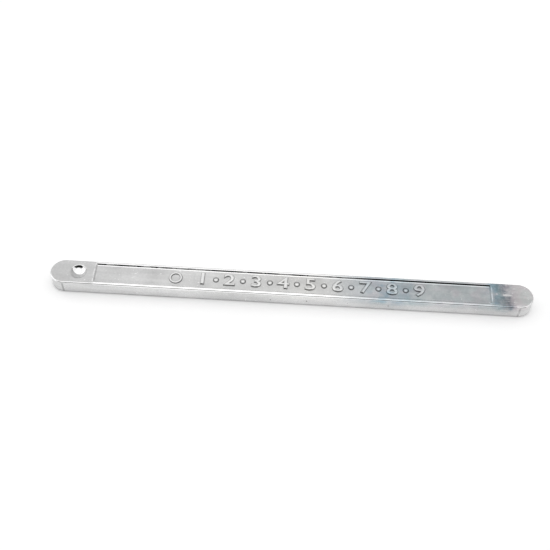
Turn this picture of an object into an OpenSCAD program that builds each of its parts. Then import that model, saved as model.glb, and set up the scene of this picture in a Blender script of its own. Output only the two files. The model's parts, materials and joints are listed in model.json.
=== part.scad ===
// Cast solder bar, lying on its pour face with its cast face up.
// The origin is under the middle of the bar, on the surface that it lies on.
// +X runs along the bar, away from the dimple, and +Z is up. Sizes are in millimetres.

/* [Bar] */
// Overall length, over the widest part of the wall
bar_length = 322; // [240:1:400]
// Overall width, over the widest part of the wall
bar_width = 19.6; // [17:0.1:26]
// Height from the pour face to the cast face
bar_height = 10.6; // [8:0.1:16]
// Lean of the wall, which lets the bar leave its mould, in degrees
draft_angle = 2.7; // [1:0.1:5]
// Radius along the edge of the cast face
cast_edge_radius = 1.1; // [0.4:0.05:1.3]

/* [Pour face] */
// Width of the shoulder that the setting metal drew along the mould
shoulder_width = 3.2; // [2.4:0.1:4]
// Height of the bar's widest line above the pour face, where the shoulder ends
shoulder_height = 1; // [0.8:0.05:1.5]
// Radius between the shoulder and the wall
pour_edge_radius = 0.5; // [0.2:0.05:0.7]
// Length of the shrinkage hollow near the dimpled end
hollow_length = 30; // [20:1:60]
// Width of the shrinkage hollow
hollow_width = 11; // [7:0.1:12]
// Depth of the shrinkage hollow
hollow_depth = 0.45; // [0.2:0.05:0.8]
// Distance from the bar's end to the shrinkage hollow
hollow_from_end = 5.5; // [5:0.5:20]

/* [Panel] */
// Width of the rim that is left along each side of the panel
rim_width = 1.8; // [1.4:0.05:2.6]
// Depth of the panel's floor under the cast face
panel_depth = 1.1; // [0.8:0.05:1.5]
// Lean of the panel's wall from the vertical, in degrees
panel_wall_angle = 38; // [20:1:45]
// Radius along the brink of the panel
panel_brink_radius = 0.4; // [0.2:0.05:0.5]
// Radius along the foot of the panel's wall
panel_foot_radius = 1; // [0.4:0.05:1.4]
// Length of the plain pad that carries the dimple
dimple_pad_length = 30; // [28:0.5:45]
// Length of the plain pad at the other end
plain_pad_length = 27.6; // [15:0.1:45]

/* [Raised marks] */
// Height of the marks above the panel's floor
mark_height = 0.8; // [0.3:0.05:0.9]
// Diameter of each round stud at the panel's floor
stud_diameter = 4.2; // [2.5:0.1:6]
// Number of studs in the row
stud_count = 8; // [2:1:11]
// Distance from one stud to the next
stud_pitch = 18; // [8:0.5:20]
// Distance of the row's middle from the middle of the bar, towards the plain end
row_middle_x = 14; // [-15:1:25]
// Diameter of the ring before the row, along the middle of its bead
ring_diameter = 7.4; // [4:0.1:9]
// Thickness of the ring's round bead
ring_bead = 1.8; // [1.6:0.1:2.6]
// Distance from the first stud to the middle of the ring
ring_from_row = 27; // [12:0.5:30]

/* [Dimple] */
// Diameter of the spherical dimple where it meets the cast face
dimple_diameter = 10.6; // [6:0.1:11]
// Depth of the dimple
dimple_depth = 2.8; // [1:0.1:3.5]
// Distance from the end of the cast face to the middle of the dimple
dimple_from_end = 19; // [13:0.5:20]
// Radius on the lip of the dimple
dimple_lip_radius = 0.4; // [0.1:0.05:0.8]

/* [Hidden] */

$fn = 96;
solder_grey = [0.79, 0.79, 0.78];

// How far a cutter reaches past the face that it cuts, and a stud into the metal under it
overshoot = 1;

// How far the circle of a rounding crosses the slope that it blends into, so that the two meet cleanly
blend_depth = 0.005;

// Where a rounding starts, measured from the corner of a face and a wall that leans back from it
function setback(radius, lean) = radius * tan((90 - lean) / 2);

// Pour edge: a circle that touches the bar's widest line, and the wall that leans in above it
half_width = bar_width / 2;
wall_outward = [cos(draft_angle), sin(draft_angle)];
wall_upward = [-sin(draft_angle), cos(draft_angle)];
pour_edge_centre = [half_width - pour_edge_radius, shoulder_height];
wall_foot = pour_edge_centre + (pour_edge_radius - blend_depth) * wall_outward;

// Shoulder: an arc that leaves the flat of the pour face at a tangent and ends on the pour edge
flat_half_width = half_width - shoulder_width;
shoulder_reach = pour_edge_centre[0] - flat_half_width;
shoulder_touch = pour_edge_radius - blend_depth;
shoulder_radius = (shoulder_reach ^ 2 + shoulder_height ^ 2 - shoulder_touch ^ 2)
    / (2 * (shoulder_height - shoulder_touch));
shoulder_centre = [flat_half_width, shoulder_radius];
shoulder_to_edge = pour_edge_centre - shoulder_centre;
shoulder_end = shoulder_centre + shoulder_to_edge * shoulder_radius / norm(shoulder_to_edge);

// Cast edge: a circle that touches the cast face and the wall
cast_half_width = wall_foot[0] - (bar_height - wall_foot[1]) * tan(draft_angle);
cast_edge_setback = setback(cast_edge_radius, draft_angle);
cast_edge_centre = [cast_half_width - cast_edge_setback + blend_depth, bar_height - cast_edge_radius];

// The round ends turn about axes that stand half a width in from the ends
end_axis_x = bar_length / 2 - half_width;
cast_end_x = end_axis_x + cast_half_width;

// Panel: a flat floor with leaning walls, rounded at the brink and at the foot
panel_half_width = cast_half_width - rim_width;
panel_left_x = -cast_end_x + dimple_pad_length;
panel_right_x = cast_end_x - plain_pad_length;
panel_wall_run = panel_depth * tan(panel_wall_angle);
panel_wall_upward = [sin(panel_wall_angle), cos(panel_wall_angle)];
brink_setback = setback(panel_brink_radius, panel_wall_angle);
foot_setback = setback(panel_foot_radius, panel_wall_angle);

// Raised marks: each stud is a cap of a sphere, and the ring's bead is sunk until it stands at the marks' height
panel_floor_z = bar_height - panel_depth;
stud_radius = ((stud_diameter / 2) ^ 2 + mark_height ^ 2) / (2 * mark_height);
first_stud_x = row_middle_x - stud_pitch * (stud_count - 1) / 2;
ring_x = first_stud_x - ring_from_row;

// Dimple: a sphere that meets the cast face in a circle, with a rounded lip
dimple_x = -cast_end_x + dimple_from_end;
dimple_radius = ((dimple_diameter / 2) ^ 2 + dimple_depth ^ 2) / (2 * dimple_depth);
dimple_centre = [0, bar_height - dimple_depth + dimple_radius];
lip_drop = dimple_centre[1] - bar_height + dimple_lip_radius;
lip_centre = [
    sqrt((dimple_radius + dimple_lip_radius) ^ 2 - lip_drop ^ 2) - blend_depth,
    bar_height - dimple_lip_radius
];
lip_foot = dimple_centre + (lip_centre - dimple_centre) * dimple_radius / (dimple_radius + dimple_lip_radius);

// Hollow: a capsule that dips into the pour face, so that its outline there has round ends
hollow_radius = ((hollow_width / 2) ^ 2 + hollow_depth ^ 2) / (2 * hollow_depth);
hollow_left_x = -bar_length / 2 + hollow_from_end + hollow_width / 2;
hollow_right_x = hollow_left_x + hollow_length - hollow_width;

// Half of the bar's cross-section, from its centre plane outwards, seen along the bar
module half_section() {
    polygon([
        [0, 0],
        [flat_half_width, 0],
        shoulder_end,
        pour_edge_centre,
        wall_foot,
        [cast_half_width, bar_height] - cast_edge_setback * wall_upward,
        cast_edge_centre,
        [cast_edge_centre[0], bar_height],
        [0, bar_height]
    ]);
    translate(cast_edge_centre) circle(r = cast_edge_radius);
    translate(pour_edge_centre) circle(r = pour_edge_radius);
    // the slice of the shoulder's circle under the chord between its two ends
    intersection() {
        translate(shoulder_centre) circle(r = shoulder_radius);
        polygon([[flat_half_width, 0], shoulder_end, [shoulder_end[0], 0]]);
    }
}

// The straight length of the bar, between the axes of its round ends
module straight_length() {
    rotate([90, 0, 90]) linear_extrude(height = 2 * end_axis_x, center = true) {
        half_section();
        mirror([1, 0]) half_section();
    }
}

// One half-round end, turned about its own axis
module round_end() {
    translate([end_axis_x, 0, 0]) rotate([0, 0, -90]) rotate_extrude(angle = 180) half_section();
}

// What the panel takes out on one side, from the plane x = 0 to its brink at the given reach
module half_recess(reach) {
    foot = [-panel_wall_run, -panel_depth];
    foot_arc_x = foot[0] - foot_setback + blend_depth;
    brink_arc_x = brink_setback - blend_depth;
    translate([reach, bar_height]) difference() {
        union() {
            polygon([
                [-reach, -panel_depth],
                [foot_arc_x, -panel_depth],
                foot + foot_setback * panel_wall_upward,
                -brink_setback * panel_wall_upward,
                [brink_arc_x, 0],
                [brink_arc_x, overshoot],
                [-reach, overshoot]
            ]);
            translate([foot_arc_x, panel_foot_radius - panel_depth]) circle(r = panel_foot_radius);
        }
        translate([brink_arc_x, -panel_brink_radius]) circle(r = panel_brink_radius);
    }
}

// The recess of the panel: where a trough along the bar crosses one that runs across it
module panel_recess() {
    intersection() {
        rotate([90, 0, 90]) linear_extrude(height = bar_length, center = true) {
            half_recess(panel_half_width);
            mirror([1, 0]) half_recess(panel_half_width);
        }
        rotate([90, 0, 0]) linear_extrude(height = bar_width, center = true) {
            half_recess(panel_right_x);
            mirror([1, 0]) half_recess(-panel_left_x);
        }
    }
}

// One round stud, standing on the panel's floor
module stud() {
    translate([0, 0, panel_floor_z]) rotate_extrude() intersection() {
        translate([0, mark_height - stud_radius]) circle(r = stud_radius);
        translate([0, -overshoot]) square([stud_diameter, mark_height + overshoot]);
    }
}

// The ring and the row of studs along the middle of the panel
module raised_marks() {
    translate([ring_x, 0, panel_floor_z + mark_height - ring_bead / 2])
        rotate_extrude() translate([ring_diameter / 2, 0]) circle(d = ring_bead);
    for (i = [0 : stud_count - 1]) translate([first_stud_x + i * stud_pitch, 0, 0]) stud();
}

// The dimple and its rounded lip, turned about the dimple's axis
module dimple() {
    translate([dimple_x, 0, 0]) rotate_extrude() difference() {
        union() {
            intersection() {
                translate(dimple_centre) circle(r = dimple_radius);
                square([lip_foot[0], bar_height]);
            }
            polygon([
                [0, lip_foot[1]],
                lip_foot,
                [lip_centre[0], bar_height],
                [lip_centre[0], bar_height + overshoot],
                [0, bar_height + overshoot]
            ]);
        }
        translate(lip_centre) circle(r = dimple_lip_radius);
    }
}

// The shallow hollow that shrinkage left in the pour face
module shrinkage_hollow() {
    translate([0, 0, hollow_depth - hollow_radius]) {
        translate([hollow_left_x, 0, 0]) rotate([0, 90, 0])
            cylinder(r = hollow_radius, h = hollow_right_x - hollow_left_x);
        for (x = [hollow_left_x, hollow_right_x]) translate([x, 0, 0]) sphere(r = hollow_radius);
    }
}

module solder_bar() {
    color(solder_grey) {
        difference() {
            union() {
                straight_length();
                round_end();
                mirror([1, 0, 0]) round_end();
            }
            panel_recess();
            dimple();
            shrinkage_hollow();
        }
        raised_marks();
    }
}

solder_bar();
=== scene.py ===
# %% [markdown]
# A bar of cast solder, dressed for a studio picture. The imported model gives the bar's exact size and place.
# This lesson models a finer bar in the same place: the same section and ends, then the marks that casting
# leaves, and last the metal, the light and the camera.

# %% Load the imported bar
import json
import math
import bmesh
import bpy
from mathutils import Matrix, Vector

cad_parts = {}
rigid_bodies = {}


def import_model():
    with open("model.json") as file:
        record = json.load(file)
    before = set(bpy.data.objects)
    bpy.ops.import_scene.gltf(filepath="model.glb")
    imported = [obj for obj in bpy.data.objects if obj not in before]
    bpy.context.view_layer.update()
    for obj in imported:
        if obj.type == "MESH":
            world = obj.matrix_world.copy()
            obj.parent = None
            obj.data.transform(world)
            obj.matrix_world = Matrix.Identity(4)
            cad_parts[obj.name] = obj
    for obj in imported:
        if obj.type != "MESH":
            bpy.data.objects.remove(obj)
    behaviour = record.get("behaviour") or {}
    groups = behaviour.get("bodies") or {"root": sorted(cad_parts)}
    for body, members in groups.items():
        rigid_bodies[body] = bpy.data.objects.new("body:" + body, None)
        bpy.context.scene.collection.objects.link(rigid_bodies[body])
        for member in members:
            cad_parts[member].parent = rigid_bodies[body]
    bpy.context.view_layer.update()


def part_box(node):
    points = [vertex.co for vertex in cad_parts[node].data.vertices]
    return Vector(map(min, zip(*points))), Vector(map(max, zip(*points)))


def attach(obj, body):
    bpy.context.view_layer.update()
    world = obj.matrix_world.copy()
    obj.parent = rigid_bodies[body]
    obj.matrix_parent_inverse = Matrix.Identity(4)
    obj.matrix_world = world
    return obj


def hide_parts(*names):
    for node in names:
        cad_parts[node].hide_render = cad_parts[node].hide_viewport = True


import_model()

MM = 0.001
# How near a point has to be to count as on a line, how near two are welded, and the Z of a level face's normal
NEAR = 0.01 * MM
WELD = 0.001 * MM
LEVEL = 0.99
low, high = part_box("solder_bar")
bar_length = high.x - low.x
bar_width = high.y - low.y
bar_height = high.z - low.z
print(f"bar of {bar_length / MM:.1f} x {bar_width / MM:.1f} x {bar_height / MM:.1f} mm")

# %% [markdown]
# Modelling by hand means picking faces and then moving, insetting or cutting them. A script has no mouse,
# so these helpers pick by place: each takes a small test and selects the faces, edges or points that pass
# it.

# %% Helpers for selecting and editing
def deselect_all():
    """Back to object mode with nothing selected."""
    if bpy.context.mode != "OBJECT":
        bpy.ops.object.mode_set(mode="OBJECT")
    bpy.ops.object.select_all(action="DESELECT")


def make_active(piece):
    """Select one piece alone."""
    deselect_all()
    piece.select_set(True)
    bpy.context.view_layer.objects.active = piece


def edit(piece, select_mode="FACE"):
    """Open one piece in edit mode with everything in it selected."""
    make_active(piece)
    bpy.ops.object.mode_set(mode="EDIT")
    bpy.ops.mesh.select_mode(type=select_mode)
    bpy.ops.mesh.select_all(action="SELECT")


def select_only(piece, kind, wanted):
    """In edit mode, select the verts, edges or faces that pass a test, and return how many did."""
    bpy.ops.mesh.select_all(action="DESELECT")
    mesh = bmesh.from_edit_mesh(piece.data)
    found = [item for item in getattr(mesh, kind) if wanted(item)]
    for item in found:
        item.select_set(True)
    bmesh.update_edit_mesh(piece.data)
    return len(found)


def arc(centre, radius, start, end, steps):
    """Points (x, z) along an arc, its angles in degrees from +X."""
    angles = [math.radians(start + (end - start) * i / steps) for i in range(steps + 1)]
    return [(centre[0] + radius * math.cos(a), centre[1] + radius * math.sin(a)) for a in angles]


def inset_along(points, outward):
    """Inset the selected face once for each step of a profile; outward is the sign of the face's Z."""
    for (x0, z0), (x1, z1) in zip(points, points[1:]):
        bpy.ops.mesh.inset(thickness=x0 - x1, depth=outward * (z1 - z0))


print("helpers ready")

# %% [markdown]
# The blank is the bar without its panel and dimple. Solder is poured into an open mould, so the walls lean
# in towards the cast face, and the pour side has the rounded shoulder of a setting liquid. A subdivision
# cage would only come near this section. Instead the blank starts as a thin slice at the bar's widest line,
# and each point of the section is one inset of the slice's upper or lower face, which keeps the half-round
# ends true, because an inset moves the whole outline in by the same amount.

# %% The section's arcs
draft_angle = 2.7
cast_edge_radius = 1.1 * MM
shoulder_width = 3.2 * MM
shoulder_height = 1.0 * MM
pour_edge_radius = 0.5 * MM
CAST_EDGE_STEPS = 8
POUR_STEPS = 6

half_width = bar_width / 2
end_axis_x = bar_length / 2 - half_width
draft_slope = math.tan(math.radians(draft_angle))

pour_edge_centre = (half_width - pour_edge_radius, shoulder_height)
wall_foot = arc(pour_edge_centre, pour_edge_radius, draft_angle, -draft_angle, 1)[0]

flat_half_width = half_width - shoulder_width
shoulder_reach = pour_edge_centre[0] - flat_half_width
shoulder_radius = (shoulder_reach ** 2 + shoulder_height ** 2 - pour_edge_radius ** 2) / (
    2 * (shoulder_height - pour_edge_radius))
shoulder_turn = -90 + math.degrees(math.atan2(shoulder_reach, shoulder_radius - shoulder_height))

cast_half_width = wall_foot[0] - (bar_height - wall_foot[1]) * draft_slope
cast_edge_setback = cast_edge_radius * math.tan(math.radians((90 - draft_angle) / 2))
cast_edge_centre = (cast_half_width - cast_edge_setback, bar_height - cast_edge_radius)
cast_end_x = end_axis_x + cast_half_width

upper_profile = [wall_foot] + arc(cast_edge_centre, cast_edge_radius, draft_angle, 90, CAST_EDGE_STEPS)
lower_profile = arc(pour_edge_centre, pour_edge_radius, -draft_angle, shoulder_turn, POUR_STEPS)
shoulder_centre = (flat_half_width, shoulder_radius)
lower_profile += arc(shoulder_centre, shoulder_radius, shoulder_turn, -90, POUR_STEPS)[1:]
print(f"cast face {2 * cast_half_width / MM:.2f} mm wide, shoulder radius {shoulder_radius / MM:.2f} mm")

# %% The blank
QUARTER_STEPS = 24

deselect_all()
bpy.ops.mesh.primitive_cube_add(size=1, location=(0, 0, 0))
bar = bpy.context.object
bar.name = "cast_bar"
bar.data.name = "cast_bar"
edit(bar, "EDGE")
slice_half_width = wall_foot[0]
slice_height = wall_foot[1] - lower_profile[0][1]
bpy.ops.transform.resize(value=(2 * (end_axis_x + slice_half_width), 2 * slice_half_width, slice_height))
bpy.ops.transform.translate(value=(0, 0, shoulder_height))
select_only(bar, "edges", lambda e: abs(e.verts[0].co.z - e.verts[1].co.z) > slice_height / 2)
bpy.ops.mesh.bevel(offset=slice_half_width, segments=QUARTER_STEPS, affect="EDGES", clamp_overlap=False)
bpy.ops.mesh.select_all(action="SELECT")
bpy.ops.mesh.remove_doubles(threshold=WELD)

bpy.ops.mesh.select_mode(type="FACE")
select_only(bar, "faces", lambda f: f.normal.z > LEVEL)
inset_along(upper_profile, 1)
select_only(bar, "faces", lambda f: f.normal.z < -LEVEL)
inset_along(lower_profile, -1)
print("blank faces:", len(bmesh.from_edit_mesh(bar.data).faces))

# %% [markdown]
# The panel is a long tray sunk in the cast face. Two cuts across the face and two along it mark out its
# rectangle, and the same inset steps then turn over the brink, go down the leaning wall and round into the
# floor.

# %% The panel
rim_width = 1.8 * MM
panel_depth = 1.1 * MM
panel_wall_angle = 38
panel_brink_radius = 0.4 * MM
panel_foot_radius = 1.0 * MM
dimple_pad_length = 30 * MM
plain_pad_length = 27.6 * MM
PANEL_STEPS = 5

wall_lean = math.radians(panel_wall_angle)
half_turn = math.tan((math.pi / 2 - wall_lean) / 2)
brink_setback = panel_brink_radius * half_turn
foot_setback = panel_foot_radius * half_turn
wall_run = panel_depth * math.tan(wall_lean)
panel_half_width = cast_half_width - rim_width
panel_left_x = -cast_end_x + dimple_pad_length
panel_right_x = cast_end_x - plain_pad_length
panel_floor_z = bar_height - panel_depth

brink_centre = (brink_setback, -panel_brink_radius)
foot_centre = (-wall_run - foot_setback, panel_foot_radius - panel_depth)
panel_profile = arc(brink_centre, panel_brink_radius, 90, 180 - panel_wall_angle, PANEL_STEPS)
panel_profile += arc(foot_centre, panel_foot_radius, -panel_wall_angle, -90, PANEL_STEPS)


def is_cast_face(face):
    return face.normal.z > LEVEL and face.calc_center_median().z > bar_height - NEAR


for cut_x in (panel_left_x - brink_setback, panel_right_x + brink_setback):
    select_only(bar, "faces", is_cast_face)
    bpy.ops.mesh.bisect(plane_co=(cut_x, 0, 0), plane_no=(1, 0, 0))
for cut_y in (-panel_half_width - brink_setback, panel_half_width + brink_setback):
    select_only(bar, "faces", lambda f: is_cast_face(f) and abs(f.calc_center_median().x) < plain_pad_length)
    bpy.ops.mesh.bisect(plane_co=(0, cut_y, 0), plane_no=(0, 1, 0))
found = select_only(bar, "faces", lambda f: is_cast_face(f) and f.calc_center_median().xy.length < rim_width)
inset_along(panel_profile, 1)
print("panel cut from", found, "face")

# %% [markdown]
# The dimple is the print of a round pin in the mould: a spherical dish with a soft lip. A ball cuts it out
# with a Boolean, and a bevel of the sharp rim that the cut leaves rounds the lip.

# %% The dimple
dimple_diameter = 10.6 * MM
dimple_depth = 2.8 * MM
dimple_from_end = 19 * MM
dimple_lip_radius = 0.4 * MM
DIMPLE_SEGMENTS = 96
DIMPLE_RINGS = 52
LIP_STEPS = 4
RIM_SLACK = 0.05 * MM

dimple_x = -cast_end_x + dimple_from_end
dimple_radius = ((dimple_diameter / 2) ** 2 + dimple_depth ** 2) / (2 * dimple_depth)
dimple_slope = math.asin(dimple_diameter / 2 / dimple_radius)


def cut_or_join(piece, tool, operation):
    """Apply a Boolean of a tool to a piece, and delete the tool."""
    make_active(piece)
    step = piece.modifiers.new(operation.lower(), "BOOLEAN")
    step.operation = operation
    step.solver = "EXACT"
    step.use_self = True
    step.object = tool
    bpy.ops.object.modifier_apply(modifier=step.name)
    bpy.data.objects.remove(tool)


deselect_all()
bpy.ops.mesh.primitive_uv_sphere_add(
    segments=DIMPLE_SEGMENTS, ring_count=DIMPLE_RINGS, radius=dimple_radius,
    location=(dimple_x, 0, bar_height - dimple_depth + dimple_radius))
cut_or_join(bar, bpy.context.object, "DIFFERENCE")


def on_dimple_rim(vert):
    reach = Vector((vert.co.x - dimple_x, vert.co.y)).length
    return abs(vert.co.z - bar_height) < NEAR and abs(reach - dimple_diameter / 2) < RIM_SLACK


edit(bar, "EDGE")
found = select_only(bar, "edges", lambda e: all(on_dimple_rim(v) for v in e.verts))
lip_setback = dimple_lip_radius * math.tan(dimple_slope / 2)
bpy.ops.mesh.bevel(offset=lip_setback, segments=LIP_STEPS, affect="EDGES")
print("dimple lip rounded along", found, "edges")

# %% [markdown]
# Bars of this kind carry raised figures on the panel. Here they are a plain scale: the numerals 1 to 9, a
# round stud between each two, and a plain ring where the scale begins. Each numeral is a text object with a
# depth and a bevelled edge, made a mesh and widened. It stands with its middle on the panel's floor, so its
# lower half is inside the metal. A stud is the cap of a ball and the ring is a sunk torus. One Boolean
# fuses all of them with the bar. The numerals' curves have few steps, because the bevels of many short
# steps would cross in tight corners.

# %% The raised scale
relief_height = 0.8 * MM
stud_diameter = 4.2 * MM
stud_pitch = 18 * MM
row_middle_x = 14 * MM
STUDS = 8
ring_diameter = 7.4 * MM
ring_bead = 1.8 * MM
ring_from_row = 27 * MM
numeral_height = 8.6 * MM
numeral_share_of_size = 0.7
numeral_edge = 0.42 * MM
numeral_thinning = 0.03 * MM
numeral_widening = 1.3
NUMERAL_CURVE_STEPS = 3
STUD_SEGMENTS = 48
STUD_RINGS = 40
RING_SEGMENTS = 64
BEAD_SEGMENTS = 24

first_stud_x = row_middle_x - stud_pitch * (STUDS - 1) / 2
ring_x = first_stud_x - ring_from_row
stud_radius = ((stud_diameter / 2) ** 2 + relief_height ** 2) / (2 * relief_height)


def settle(piece):
    """Put a new piece's place, turn and scale into its mesh."""
    make_active(piece)
    bpy.ops.object.transform_apply(location=True, rotation=True, scale=True)
    return piece


def raised_numeral(number, x):
    deselect_all()
    bpy.ops.object.text_add()
    text = bpy.context.object.data
    text.body = str(number)
    text.align_x = "CENTER"
    text.align_y = "CENTER"
    text.size = numeral_height / numeral_share_of_size
    text.offset = -numeral_thinning
    text.extrude = relief_height - numeral_edge
    text.bevel_depth = numeral_edge
    text.bevel_resolution = 0
    text.resolution_u = NUMERAL_CURVE_STEPS
    bpy.ops.object.convert(target="MESH")
    numeral = bpy.context.object
    numeral.location = (x, 0, panel_floor_z)
    numeral.scale = (numeral_widening, 1, 1)
    settle(numeral)
    edit(numeral)
    bpy.ops.mesh.remove_doubles(threshold=WELD)
    bpy.ops.mesh.normals_make_consistent(inside=False)
    deselect_all()
    return numeral


def raised_stud(x):
    deselect_all()
    bpy.ops.mesh.primitive_uv_sphere_add(
        segments=STUD_SEGMENTS, ring_count=STUD_RINGS, radius=stud_radius,
        location=(x, 0, panel_floor_z + relief_height - stud_radius))
    return settle(bpy.context.object)


def raised_ring(x):
    deselect_all()
    bpy.ops.mesh.primitive_torus_add(
        major_radius=ring_diameter / 2, minor_radius=ring_bead / 2,
        major_segments=RING_SEGMENTS, minor_segments=BEAD_SEGMENTS,
        location=(x, 0, panel_floor_z + relief_height - ring_bead / 2))
    return settle(bpy.context.object)


figures = [raised_ring(ring_x)]
figures += [raised_stud(first_stud_x + i * stud_pitch) for i in range(STUDS)]
figures += [raised_numeral(i + 1, first_stud_x + (i - 0.5) * stud_pitch) for i in range(STUDS + 1)]
deselect_all()
for figure in figures:
    figure.select_set(True)
bpy.context.view_layer.objects.active = figures[0]
bpy.ops.object.join()
scale_relief = bpy.context.object
print(f"scale of {scale_relief.dimensions.x / MM:.1f} x {scale_relief.dimensions.y / MM:.1f} mm")
cut_or_join(bar, scale_relief, "UNION")

# %% [markdown]
# Where a numeral's bevels still cross, the Boolean leaves a scrap of skin that hangs on edges with more
# than two faces, which no real surface has. Marked as seams, those edges stop a linked selection that
# starts at the pour face, and what it didn't reach is a scrap and goes.

# %% The scraps
edit(bar, "EDGE")
bpy.ops.mesh.select_all(action="DESELECT")
bpy.ops.mesh.select_non_manifold()
bpy.ops.mesh.mark_seam()
bpy.ops.mesh.select_mode(type="FACE")
select_only(bar, "faces", lambda f: f.normal.z < -LEVEL)
bpy.ops.mesh.select_linked(delimit={"SEAM"})
bpy.ops.mesh.select_all(action="INVERT")
print("scraps deleted, in faces:", bar.data.total_face_sel)
bpy.ops.mesh.delete(type="FACE")
bpy.ops.mesh.select_all(action="SELECT")
bpy.ops.mesh.mark_seam(clear=True)
deselect_all()

# %% [markdown]
# A casting is never quite flat: the metal shrinks as it sets. To let the faces swell and sink a little they
# need points, so planes slice the whole bar into a grid. Slicing leaves the shape as it is, unlike
# subdividing, which would bunch the new points at the round ends.

# %% The grid
grid_x = 2 * MM
grid_y = 2.2 * MM
grid_z = 2.2 * MM


def slice_across(piece, axis, places, wanted=None):
    """Cut all faces, or those that pass a test, with planes across one axis."""
    normal = Vector((0, 0, 0))
    normal[axis] = 1
    for place in places:
        bpy.ops.mesh.select_all(action="SELECT")
        if wanted:
            select_only(piece, "faces", wanted)
        bpy.ops.mesh.bisect(plane_co=place * normal, plane_no=normal)


def even_places(start, end, step):
    """Places from start to end, about one step apart."""
    count = round((end - start) / step)
    return [start + (end - start) * i / count for i in range(count + 1)]


edit(bar)
slice_across(bar, 0, even_places(-end_axis_x, end_axis_x, grid_x)[1:-1])
slice_across(bar, 1, even_places(-3 * grid_y, 3 * grid_y, grid_y))
slice_across(bar, 2, even_places(wall_foot[1], cast_edge_centre[1], grid_z)[1:-1])
print("faces in the grid:", len(bmesh.from_edit_mesh(bar.data).faces))

# %% [markdown]
# Where the mould's round ends meet its straight sides, each wall carries a fine upright line. A cut on both
# sides of the seam leaves a narrow strip, and the points of its middle are pulled in.

# %% The mould's seams
seam_half_width = 0.5 * MM
seam_depth = 0.16 * MM


def is_seam_point(vert):
    on_seam = abs(abs(vert.co.x) - end_axis_x) < NEAR
    on_wall = wall_foot[1] - NEAR < vert.co.z < cast_edge_centre[1] + NEAR
    return on_seam and on_wall and abs(vert.co.y) > panel_half_width


seam_sides = [side * end_axis_x + reach for side in (-1, 1) for reach in (-seam_half_width, seam_half_width)]
slice_across(bar, 0, seam_sides)
bpy.ops.mesh.select_mode(type="VERT")
found = select_only(bar, "verts", is_seam_point)
bpy.ops.transform.shrink_fatten(value=-seam_depth)
print("seam points pulled in:", found)

# %% [markdown]
# The last metal to set leaves a shallow, wrinkled hollow in the pour face, near the dimpled end. A fine
# grid under it takes a vertex group that fades from the hollow's middle to its edge, and two Displace
# modifiers follow that group: one sinks the dish, and one crumples it with a cloud texture.

# %% The shrinkage hollow
hollow_length = 30 * MM
hollow_width = 11 * MM
hollow_depth = 0.45 * MM
hollow_from_end = 5.5 * MM
hollow_grid = 0.7 * MM
wrinkle_size = 1.6 * MM
wrinkle_depth = 0.35 * MM

hollow_left_x = -bar_length / 2 + hollow_from_end + hollow_width / 2
hollow_right_x = hollow_left_x + hollow_length - hollow_width


def from_hollow_axis(point):
    """Distance from a point of the pour face to the hollow's middle line."""
    nearest_x = min(max(point.x, hollow_left_x), hollow_right_x)
    return Vector((point.x - nearest_x, point.y)).length


def is_over_hollow(face):
    return face.normal.z < -LEVEL and from_hollow_axis(face.calc_center_median()) < hollow_width


bpy.ops.mesh.select_mode(type="FACE")
hollow_start_x = hollow_left_x - hollow_width / 2
slice_across(bar, 0, even_places(hollow_start_x, hollow_start_x + hollow_length, hollow_grid), is_over_hollow)
slice_across(bar, 1, even_places(-hollow_width / 2, hollow_width / 2, hollow_grid), is_over_hollow)
deselect_all()

hollow_group = bar.vertex_groups.new(name="shrink_hollow")
for vert in bar.data.vertices:
    fall = 1 - (from_hollow_axis(vert.co) / (hollow_width / 2)) ** 2
    if vert.co.z < NEAR and fall > 0:
        hollow_group.add([vert.index], fall, "REPLACE")


def displace(piece, name, depth, direction, cloud_size=None, group=""):
    """Apply a Displace modifier, even or by a cloud texture."""
    make_active(piece)
    step = piece.modifiers.new(name, "DISPLACE")
    step.strength = depth
    step.direction = direction
    step.vertex_group = group
    step.mid_level = 0
    if cloud_size:
        step.texture = bpy.data.textures.new(name, "CLOUDS")
        step.texture.noise_scale = cloud_size
        step.texture_coords = "LOCAL"
        step.mid_level = 0.5
    bpy.ops.object.modifier_apply(modifier=step.name)


displace(bar, "hollow_dish", hollow_depth, "Z", group=hollow_group.name)
displace(bar, "hollow_wrinkles", wrinkle_depth, "Z", wrinkle_size, hollow_group.name)
print("hollow points:", sum(1 for v in bar.data.vertices if v.groups))

# %% [markdown]
# Two more cloud textures give the whole casting its gentle swell: one as long as the bar is wide, which
# bends the long reflections, and one a few millimetres long, which makes them shimmer. Smooth shading then
# hides the grid, sharp corners stay sharp by their angle, and weighted normals keep the flat faces flat
# beside their roundings.

# %% The casting's swell
long_swell_depth = 0.10 * MM
long_swell_size = 17 * MM
short_swell_depth = 0.03 * MM
short_swell_size = 5 * MM
SMOOTH_ANGLE = 40

displace(bar, "long_swell", long_swell_depth, "NORMAL", long_swell_size)
displace(bar, "short_swell", short_swell_depth, "NORMAL", short_swell_size)
make_active(bar)
bpy.ops.object.shade_smooth_by_angle(angle=math.radians(SMOOTH_ANGLE))
weights = bar.modifiers.new("flat_faces", "WEIGHTED_NORMAL")
weights.keep_sharp = True
bpy.ops.object.modifier_apply(modifier=weights.name)
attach(bar, "root")
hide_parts("solder_bar")
print("bar faces:", len(bar.data.polygons))

# %% [markdown]
# Fresh solder is a soft grey metal. This cell starts its material and makes small helpers, so that each
# later cell can say in a line what it mixes: values and links are given together, by the socket's name.

# %% The metal's helpers
metal = bpy.data.materials.new("cast_solder")
metal.use_nodes = True
bar.data.materials.clear()
bar.data.materials.append(metal)
tree = metal.node_tree
shader = tree.nodes["Principled BSDF"]


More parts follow.
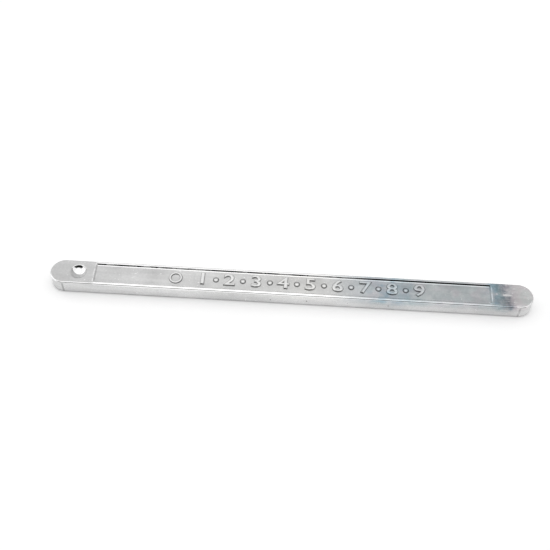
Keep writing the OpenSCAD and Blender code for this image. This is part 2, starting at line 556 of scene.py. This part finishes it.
def node(kind, inputs, **settings):
    """Place a shader node; an input that is a socket is linked, and any other is set."""
    made = tree.nodes.new("ShaderNode" + kind)
    for name, value in settings.items():
        setattr(made, name, value)
    for name, value in inputs.items():
        if isinstance(value, bpy.types.NodeSocket):
            tree.links.new(value, made.inputs[name])
        else:
            made.inputs[name].default_value = value
    return made


def calc(operation, first, second=0.0, third=0.0):
    return node("Math", {0: first, 1: second, 2: third}, operation=operation).outputs[0]


def fade(value, start, end, low=0.0, high=1.0):
    """Go smoothly from low to high while a value goes from start to end."""
    limits = {"Value": value, "From Min": start, "From Max": end, "To Min": low, "To Max": high}
    return node("MapRange", limits, interpolation_type="SMOOTHSTEP").outputs["Result"]


def noise(size, detail=2.0, stretch=(1, 1, 1), shift=0.0):
    """Cloudy values from 0 to 1, with patches of about the given size, longer along a stretched axis."""
    squeeze = [1 / s for s in stretch]
    place = node("Mapping", {"Vector": spot, "Scale": squeeze, "Location": (shift, shift, shift)})
    look = {"Vector": place.outputs[0], "Scale": 0.5 / size, "Detail": detail, "Roughness": 0.55}
    return node("TexNoise", look).outputs[0]


def mix(factor, first, second, blend="MIX"):
    blended = node("Mix", {}, data_type="RGBA", blend_type=blend)
    for name, value in (("Factor_Float", factor), ("A_Color", first), ("B_Color", second)):
        socket = next(s for s in blended.inputs if s.identifier == name)
        if isinstance(value, bpy.types.NodeSocket):
            tree.links.new(value, socket)
        else:
            socket.default_value = value
    return next(s for s in blended.outputs if s.identifier == "Result_Color")


def grey(level):
    return (level, level, level, 1)


where = node("TexCoord", {})
spot = where.outputs["Object"]
along, across, up = node("SeparateXYZ", {0: spot}).outputs
facing_up = node("SeparateXYZ", {0: where.outputs["Normal"]}).outputs["Z"]
print("metal started")

# %% [markdown]
# The bare metal is an even grey, but not a flat one. Setting leaves cloudy patches a finger wide, and the
# flow of the metal leaves faint streaks along the bar. Each is a noise of its own size, and they multiply
# one grey.

# %% The bare metal
DULL_GREY = 0.62
WALL_LIGHTENING = 1.1
ALONG_BAR = (14, 1, 1)
cloud_size = 14 * MM
streak_width = 2.2 * MM
speckle_size = 0.7 * MM

cloudy = fade(noise(cloud_size, 3.0), 0.3, 0.7, 0.93, 1.06)
streaky = fade(noise(streak_width, 3.0, ALONG_BAR), 0.3, 0.7, 0.93, 1.05)
speckled = fade(noise(speckle_size, 2.0), 0.3, 0.7, 0.96, 1.03)
# Painted light: the walls are painted a tenth lighter than the faces that look up.
painted_wall_lightening = fade(facing_up, 0.35, 0.15, 1.0, WALL_LIGHTENING)
bare_level = calc("MULTIPLY", calc("MULTIPLY", cloudy, streaky), calc("MULTIPLY", speckled, painted_wall_lightening))
bare_grey = calc("MULTIPLY", bare_level, DULL_GREY)
bare_metal = node("CombineColor", {0: bare_grey, 1: bare_grey, 2: bare_grey}).outputs[0]
print("bare metal: grey", DULL_GREY)

# %% [markdown]
# Handling polishes what sticks out: the rounded edges of the cast face, the rim on both sides of the panel,
# the brinks at its ends and the tops of the raised figures. The foot of the panel's wall and the half of the
# dimple away from the camera are painted bright as well: painted highlights. Small bright specks are
# painted glints. Each mask finds its place on the bar from Object coordinates, and where masks meet, the
# stronger one counts.

# %% Helpers for masks
SOFT = 0.15 * MM
END_SOFT = 1 * MM
floor_soft = 0.4 * MM
floor_end_gap = 3 * MM


def overlap(*masks):
    """Where all of the masks are."""
    result = masks[0]
    for mask in masks[1:]:
        result = calc("MULTIPLY", result, mask)
    return result


def any_of(*masks):
    """Where at least one of the masks is."""
    result = masks[0]
    for mask in masks[1:]:
        result = calc("MAXIMUM", result, mask)
    return result


def band(value, start, end, soft=SOFT):
    """Where a value lies between two places, with soft borders."""
    return overlap(fade(value, start - soft, start + soft), fade(value, end + soft, end - soft))


def distance(*parts):
    """Length of a line from its parts along each axis."""
    total = 0.0
    for part in parts:
        total = calc("MULTIPLY_ADD", part, part, total)
    return calc("SQRT", total)


def away_from(value, place):
    return calc("SUBTRACT", value, place)


side = calc("ABSOLUTE", across)
past_end_axis = calc("MAXIMUM", away_from(calc("ABSOLUTE", along), end_axis_x), 0.0)
from_middle_line = distance(past_end_axis, across)
near_top = fade(up, bar_height - 1.1 * cast_edge_radius, bar_height - 0.8 * cast_edge_radius)
beside_panel = band(along, panel_left_x, panel_right_x, END_SOFT)
floor_half_width = panel_half_width - wall_run - foot_setback
on_floor = overlap(
    fade(side, floor_half_width, floor_half_width - floor_soft),
    band(along, panel_left_x + floor_end_gap, panel_right_x - floor_end_gap, END_SOFT))
print("masks ready")

# %% The burnished edges and painted highlights
BRIGHT_GREY = 0.93
PLAIN_END_WEAR = 0.4
RELIEF_WEAR = 0.4
FOOT_HIGHLIGHT = 0.8
BRINK_WEAR = 0.75
GLINT_BRIGHTNESS = 0.5
brink_width = 0.9 * MM
dish_highlight_shift = 4.2 * MM
dish_highlight_reach = 5.0 * MM
lip_width = 0.2 * MM
edge_width = 1.5 * MM
tip_start_y = 1.5 * MM
tip_end_y = 5 * MM
wear_start_x = 10 * MM
wear_end_x = 60 * MM
glint_size = 0.8 * MM
break_size = 1.1 * MM

foot_line_start = floor_half_width + 0.1 * MM
wall_start = floor_half_width + 0.7 * MM
wall_end = panel_half_width + 0.1 * MM
rim_start = panel_half_width - 0.1 * MM
rim_full = panel_half_width + 0.2 * MM

leaning = overlap(fade(facing_up, 0.2, 0.5), fade(facing_up, 0.995, 0.95))
outer_edge = fade(from_middle_line, panel_half_width - edge_width, panel_half_width)
edges = overlap(leaning, near_top, outer_edge, fade(side, tip_start_y, tip_end_y))
plain_end_wear = fade(along, wear_start_x, wear_end_x, 1.0, PLAIN_END_WEAR)
rim = overlap(fade(side, rim_start, rim_full), near_top, beside_panel, plain_end_wear)
# A painted highlight: a bright, mirror-like line along the foot of the panel's wall.
painted_foot_highlight = overlap(band(side, foot_line_start, wall_start), beside_panel, FOOT_HIGHLIGHT)

# Painted glints: small bright specks scattered over the bar.
painted_glints = fade(noise(glint_size, 2.0, shift=6.1), 0.66, 0.72)
left_brink = band(along, panel_left_x - brink_width, panel_left_x)
right_brink = band(along, panel_right_x, panel_right_x + brink_width)
brink_breaks = fade(noise(break_size, 3.0, shift=7.7), 0.38, 0.55)
across_panel = fade(side, panel_half_width, floor_half_width)
brinks = overlap(any_of(left_brink, right_brink), across_panel, brink_breaks, BRINK_WEAR)

dimple_offset = away_from(along, dimple_x)
dish_reach = dimple_diameter / 2 + lip_width
in_dimple = fade(distance(dimple_offset, across), dish_reach + lip_width, dish_reach)
# A painted highlight: the half of the dimple away from the camera is painted bright and mirror-like.
from_dish_highlight = distance(dimple_offset, away_from(across, dish_highlight_shift))
painted_dish_highlight = overlap(in_dimple, fade(from_dish_highlight, dish_highlight_reach + SOFT, dish_highlight_reach - SOFT))

relief_share = calc("DIVIDE", away_from(up, panel_floor_z), relief_height)
relief = overlap(on_floor, fade(relief_share, 0.7, 0.95, 0.0, RELIEF_WEAR))
# Real wear (edges, rim, brinks, figure tops) mixed with painted highlights (wall foot, dimple) and painted
# glints.
wear_and_painted_highlights = any_of(edges, rim, painted_foot_highlight, brinks, painted_dish_highlight, relief, overlap(painted_glints, GLINT_BRIGHTNESS))
metal_colour = mix(wear_and_painted_highlights, bare_metal, grey(BRIGHT_GREY))
print("burnished grey", BRIGHT_GREY)

# %% [markdown]
# Heat leaves thin oxide films, which colour the metal as a soap bubble is coloured: straw first, then
# purple and blue. On this bar they lie towards the plain end. A colour ramp along the bar holds the films
# in order, and noise pushes its borders back and forth, so that no border is a straight line. Scrapes have
# taken the film off again in a few places.

# %% The heat stains
# Places along the bar in millimetres, and the film's colour there
FILMS = (
    (-130, (1.00, 1.00, 1.00)),
    (-118, (1.07, 1.07, 1.07)),
    (-20, (1.11, 1.11, 1.10)),
    (10, (1.13, 1.12, 1.10)),
    (27, (1.05, 1.05, 1.04)),
    (42, (0.81, 0.84, 0.86)),
    (58, (0.68, 0.73, 0.77)),
    (72, (0.59, 0.69, 0.74)),
    (90, (0.70, 0.73, 0.75)),
    (128, (0.71, 0.74, 0.76)),
    (132, (0.66, 0.72, 0.75)),
    (136, (0.52, 0.60, 0.64)),
    (139, (0.38, 0.44, 0.47)),
    (142, (0.32, 0.35, 0.39)),
    (145, (0.66, 0.65, 0.68)),
    (148, (0.84, 0.81, 0.83)),
    (151, (0.90, 0.89, 0.89)),
)
WALL_FILM = 0.1
FILM_SLANT = 0.15
film_foot_z = 4 * MM
film_patch_size = 3 * MM
wander_size = 7 * MM
wander_reach = 11 * MM
ragged_size = 1.0 * MM
ragged_reach = 10 * MM

wander = calc("MULTIPLY", away_from(noise(wander_size, 4.0, shift=0.3), 0.5), wander_reach)
ragged = calc("MULTIPLY", away_from(noise(ragged_size, 5.0, shift=4.3), 0.5), ragged_reach)
slanted = calc("MULTIPLY_ADD", across, FILM_SLANT, along)
film_x = calc("ADD", calc("ADD", slanted, wander), ragged)
film_share = node("MapRange", {"Value": film_x, "From Min": low.x, "From Max": high.x})
films = node("ValToRGB", {0: film_share.outputs["Result"]})


def set_ramp(ramp, stops):
    """Give a colour ramp its stops, each a share of its length and a colour."""
    (first_share, first_colour), *between, (last_share, last_colour) = stops
    ramp.elements[0].position = first_share
    ramp.elements[0].color = first_colour
    ramp.elements[1].position = last_share
    ramp.elements[1].color = last_colour
    for share, colour in between:
        ramp.elements.new(share).color = colour


def tint(weight, colour, film):
    """Multiply a colour by a film, as strongly as a mask says."""
    return mix(weight, colour, mix(1.0, colour, film, "MULTIPLY"))


set_ramp(films.color_ramp, [((place * MM - low.x) / bar_length, (*shade, 1)) for place, shade in FILMS])
film_patches = fade(noise(film_patch_size, 5.0, shift=0.7), 0.35, 0.62, 0.65, 1.08)
film_height = fade(up, film_foot_z, bar_height - cast_edge_radius, WALL_FILM, 1.0)

scrape_x = 143.4 * MM
scrape_length = 3.4 * MM
scrape_width = 1.0 * MM
scrape_raggedness = 0.9 * MM
small_scrape_size = 1.3 * MM
pad_start_x = 131 * MM
pad_full_x = 136 * MM
on_plain_pad = fade(along, pad_start_x, pad_full_x)
small_scrapes = overlap(fade(noise(small_scrape_size, 4.0, (2.2, 1, 1), 3.1), 0.58, 0.66), on_plain_pad)
scrape_reach = distance(
    calc("DIVIDE", away_from(along, scrape_x), scrape_length), calc("DIVIDE", across, scrape_width))
ragged_scrape = calc("ADD", scrape_reach, noise(scrape_raggedness, 3.0, shift=2.9))
scrapes = any_of(small_scrapes, fade(ragged_scrape, 1.5, 1.25))
film_weight = overlap(film_patches, film_height, calc("SUBTRACT", 1.0, scrapes))
stained = tint(film_weight, metal_colour, films.outputs[0])

ROSE_FILM = (1.015, 0.985, 1.0, 1)
GREEN_FILM = (0.975, 1.005, 1.0, 1)
FILM_ON_WEAR_AND_HIGHLIGHTS = 0.35
drift_size = 3.5 * MM
drift_start_x = 35 * MM
drift_full_x = 60 * MM
drift = mix(fade(noise(drift_size, 4.0, shift=5.2), 0.4, 0.6), ROSE_FILM, GREEN_FILM)
dull = fade(wear_and_painted_highlights, 0.0, 1.0, 1.0, FILM_ON_WEAR_AND_HIGHLIGHTS)
stained = tint(overlap(fade(along, drift_start_x, drift_full_x), film_height, dull), stained, drift)

BLUE_FILM = (0.73, 0.88, 0.94, 1)
# Middle and reach of each zone along the bar, in millimetres
BLUE_ZONES = ((66, 18), (138, 7))
blue_cloud_size = 4 * MM
blue_zones = [
    fade(calc("ABSOLUTE", away_from(film_x, centre * MM)), reach * MM, 0.5 * reach * MM)
    for centre, reach in BLUE_ZONES]
blue_clouds = fade(noise(blue_cloud_size, 4.0, shift=1.1), 0.45, 0.68)
stained = tint(overlap(any_of(*blue_zones), film_height, blue_clouds, dull), stained, BLUE_FILM)
print("oxide films:", len(FILMS))

# %% [markdown]
# Gas leaves a few small pits low on the walls, painted as dark discs of shade. Painted shade also darkens the
# mould's seams, the flanks of the raised figures and the edge of the pour face. A painted dark reflection
# lies on the panel's far wall towards the plain end, and a painted dark line in the dimple where its painted
# highlight stops. Voronoi cells each hold one point, so a small disc round that point is a pit, and the
# cell's random colour decides which cells have none.

# %% The painted shade
PIT_SHADE_GREY = 0.2
SEAM_SHADE_GREY = 0.62
CREASE_SHADE_GREY = 0.3
POUR_EDGE_SHADE_GREY = 0.42
FAR_WALL_DARK_GREY = 0.4
PAINTED_DISH_LINE_GREY = 0.6
PIT_CHANCE = 0.93
PIT_SPREAD = 0.06
pit_cell = 6 * MM
pit_top_z = 7 * MM
pit_full_z = 5 * MM
far_wall_dark_start_x = 40 * MM
far_wall_dark_full_x = 60 * MM
dish_line_width = 0.4 * MM
dish_line_soft = 0.1 * MM
seam_shade_patch_size = 1.6 * MM

on_wall = fade(facing_up, 0.35, 0.2)
wall_plane = node("CombineXYZ", {"X": along, "Y": up, "Z": 0.0}).outputs[0]
pits = node("TexVoronoi", {"Vector": wall_plane, "Scale": 1 / pit_cell}, voronoi_dimensions="2D")
chance, chosen_size, _ = node("SeparateColor", {0: pits.outputs["Color"]}).outputs
pit_edge = away_from(pits.outputs["Distance"], calc("MULTIPLY", chosen_size, PIT_SPREAD))
chosen = fade(chance, PIT_CHANCE, PIT_CHANCE + 0.02)
# Painted shade: each pit is a dark disc, with no hollow in the mesh.
pit = overlap(fade(pit_edge, 0.05, 0.01), chosen, fade(up, pit_top_z, pit_full_z), on_wall)
pit_shaded = mix(pit, stained, grey(PIT_SHADE_GREY))

# Painted shade on the flanks of the raised figures, darkest near the panel's floor.
shaded_flank = overlap(fade(facing_up, 0.97, 0.85), on_floor)
crease_shaded = tint(overlap(shaded_flank, fade(relief_share, 0.95, 0.45)), pit_shaded, grey(CREASE_SHADE_GREY))
# Painted shade: the walls darken low down, next to the pour face.
bottom_shaded = tint(fade(up, 1.7 * shoulder_height, 0.9 * shoulder_height), crease_shaded, grey(POUR_EDGE_SHADE_GREY))

on_panel_wall = band(side, wall_start, wall_end)
# A painted dark reflection on the panel's far wall, the one that faces the camera, towards the plain end.
far_side = fade(across, 0, half_width / 2)
far_wall_painted_dark = overlap(on_panel_wall, beside_panel, fade(along, far_wall_dark_start_x, far_wall_dark_full_x), far_side)
far_wall_darkened = tint(far_wall_painted_dark, bottom_shaded, grey(FAR_WALL_DARK_GREY))

# Painted shade: a dark line round the edge of the dimple's painted highlight.
painted_dish_line = band(from_dish_highlight, dish_highlight_reach, dish_highlight_reach + dish_line_width, dish_line_soft)
dish_line_painted = tint(overlap(in_dimple, painted_dish_line), far_wall_darkened, grey(PAINTED_DISH_LINE_GREY))

# Painted shade along the mould's seams on the walls, in patches.
from_seam = calc("ABSOLUTE", away_from(calc("ABSOLUTE", along), end_axis_x))
seam_shade_patches = fade(noise(seam_shade_patch_size, 3.0, (1, 1, 3)), 0.3, 0.55)
seam = overlap(fade(from_seam, 2 * seam_half_width, 0.4 * seam_half_width), on_wall, seam_shade_patches)
finished_colour = tint(seam, dish_line_painted, grey(SEAM_SHADE_GREY))
tree.links.new(finished_colour, shader.inputs["Base Color"])
print("pit cells of", pit_cell / MM, "mm")

# %% [markdown]
# The gloss varies as the colour does: the cast face is satin, the walls that slid out of the mould are
# smoother, and what is burnished or painted as a highlight is close to a mirror. Scuffs dull the panel's
# walls in places. A fine grain and short ripples are too small for the mesh, so a Bump node tilts the
# normals for them.

# %% The gloss
SATIN = 0.48
WALL_GLOSS = 0.24
MIRROR = 0.10
SCUFF_DULLING = 0.33
PATCHINESS = 0.15
GRAIN_HEIGHT = 0.008
RIPPLE_HEIGHT = 0.025
DRAWN_HEIGHT = 0.012
patch_size = 6 * MM
scuff_size = 1.8 * MM
scuff_full_x = 35 * MM
scuff_end_x = 55 * MM
grain_size = 0.5 * MM
ripple_size = 2.4 * MM
drawn_width = 0.8 * MM

patches = fade(noise(patch_size, 3.0, shift=1.9), 0.3, 0.7, 1 - PATCHINESS, 1 + PATCHINESS)
satin = calc("MULTIPLY", patches, fade(on_wall, 0.0, 1.0, SATIN, WALL_GLOSS))
sleek = any_of(wear_and_painted_highlights, on_panel_wall)
gloss = node("MapRange", {"Value": sleek, "To Min": satin, "To Max": MIRROR}).outputs["Result"]
scuffs = fade(noise(scuff_size, 3.0, (2.5, 1, 1), 2.3), 0.46, 0.58)
scuffed = overlap(on_panel_wall, scuffs, fade(along, scuff_end_x, scuff_full_x), SCUFF_DULLING)
tree.links.new(calc("ADD", gloss, scuffed), shader.inputs["Roughness"])

grain = calc("MULTIPLY", noise(grain_size, 2.0), GRAIN_HEIGHT)
ripples = calc("MULTIPLY", noise(ripple_size, 2.0), RIPPLE_HEIGHT)
drawn = calc("MULTIPLY", noise(drawn_width, 2.0, ALONG_BAR), DRAWN_HEIGHT)
height = calc("ADD", calc("ADD", grain, ripples), drawn)
bump = node("Bump", {"Height": height, "Distance": MM, "Strength": 1.0})
tree.links.new(bump.outputs[0], shader.inputs["Normal"])
shader.inputs["Metallic"].default_value = 1
print("gloss from", MIRROR, "to", SATIN)

# %% [markdown]
# The stage is a wide pale floor. A small lift, given only to what the camera and the metal see of it,
# brings the paint to white without lighting the bar any more, and the floor still keeps the bar's soft
# shadow.

# %% The floor
floor_radius = 6
FLOOR_SIDES = 96
FLOOR_GREY = 0.95
FLOOR_ROUGHNESS = 0.9
FLOOR_LIFT = 0.2

deselect_all()
bpy.ops.mesh.primitive_circle_add(
    vertices=FLOOR_SIDES, radius=floor_radius, fill_type="NGON", location=(0, 0, 0))
floor = bpy.context.object
floor.name = "studio_floor"
floor_paint = bpy.data.materials.new("studio_floor")
floor_paint.use_nodes = True
paint = floor_paint.node_tree.nodes["Principled BSDF"]
paint.inputs["Base Color"].default_value = grey(FLOOR_GREY)
paint.inputs["Roughness"].default_value = FLOOR_ROUGHNESS
paint.inputs["Specular IOR Level"].default_value = 0
paint.inputs["Emission Color"].default_value = grey(1)
tree = floor_paint.node_tree
ray = node("LightPath", {})
seen = any_of(*(ray.outputs[kind] for kind in ("Is Camera Ray", "Is Transmission Ray", "Is Glossy Ray")))
tree.links.new(calc("MULTIPLY", seen, FLOOR_LIFT), paint.inputs["Emission Strength"])
floor.data.materials.append(floor_paint)
print("floor", 2 * floor_radius, "m across")

# %% [markdown]
# Metal shows its surroundings, so the light is a room: a bright ceiling and white walls, with a window on
# the left, a dark grey skirting on the right, a grey backdrop behind the bar and a white band along the
# horizon. On the camera's side is a dark opening, which draws the dark crescent in the dimple and the dark
# line along the panel's far wall. The room is a world made of nodes. A ramp by height gives the walls and
# the ceiling, and each other part is set by how far up, to the side, back or front it lies.

# %% The room
ROOM = ((0.0, 0.9), (0.22, 0.98), (0.82, 1.0), (0.92, 1.25), (1.0, 1.35))
WINDOW_LEVEL = 1.15
SKIRTING_LEVEL = 0.38
BACKDROP_LEVEL = 0.58
HORIZON_LEVEL = 1.0
OPENING_LEVEL = 0.02

world = bpy.data.worlds.new("studio")
bpy.context.scene.world = world
world.use_nodes = True
tree = world.node_tree
view = node("TexCoord", {}).outputs["Generated"]
rightward, backward, upward = node("SeparateXYZ", {0: view}).outputs
room = node("ValToRGB", {0: upward})
set_ramp(room.color_ramp, [(share, grey(level)) for share, level in ROOM])

window = overlap(fade(rightward, -0.45, -0.65), fade(upward, 0.75, 0.6))
skirting = overlap(fade(rightward, 0.4, 0.6), fade(upward, 0.36, 0.24))
backdrop = fade(backward, 0.64, 0.74)
horizon = fade(upward, 0.09, 0.06)
opening = overlap(fade(upward, 0.14, 0.22), fade(upward, 0.76, 0.68), fade(backward, -0.45, -0.57))
room_light = room.outputs[0]
for part, level in (
        (window, WINDOW_LEVEL), (skirting, SKIRTING_LEVEL), (backdrop, BACKDROP_LEVEL),
        (horizon, HORIZON_LEVEL), (opening, OPENING_LEVEL)):
    room_light = mix(part, room_light, grey(level))
tree.links.new(room_light, tree.nodes["Background"].inputs["Color"])
print("room with", len(ROOM), "levels")

# %% [markdown]
# The camera looks down on the bar from the front, a little from the right.

# %% The camera
camera_turn = math.radians(3.88)
camera_elevation = math.radians(55.1)
camera_distance = 592.3 * MM
camera_target = Vector((-11.0, 20.8, -10.7)) * MM
camera_lens = 55.51
SENSOR_WIDTH = 36
nearest_seen = 10 * MM

camera_data = bpy.data.cameras.new("photo_camera")
camera = bpy.data.objects.new("photo_camera", camera_data)
bpy.context.collection.objects.link(camera)
camera_data.lens = camera_lens
camera_data.sensor_width = SENSOR_WIDTH
camera_data.clip_start = nearest_seen
toward_camera = Vector((
    math.sin(camera_turn) * math.cos(camera_elevation),
    -math.cos(camera_turn) * math.cos(camera_elevation),
    math.sin(camera_elevation)))
camera.location = camera_target + camera_distance * toward_camera
camera.rotation_euler = (math.pi / 2 - camera_elevation, 0, camera_turn)
bpy.context.scene.camera = camera
bpy.context.scene.view_settings.view_transform = "Standard"
print("camera at", [round(c, 3) for c in camera.location])

# %% [markdown]
# Last, the script prints that it has finished.

# %% The end
print("finished")
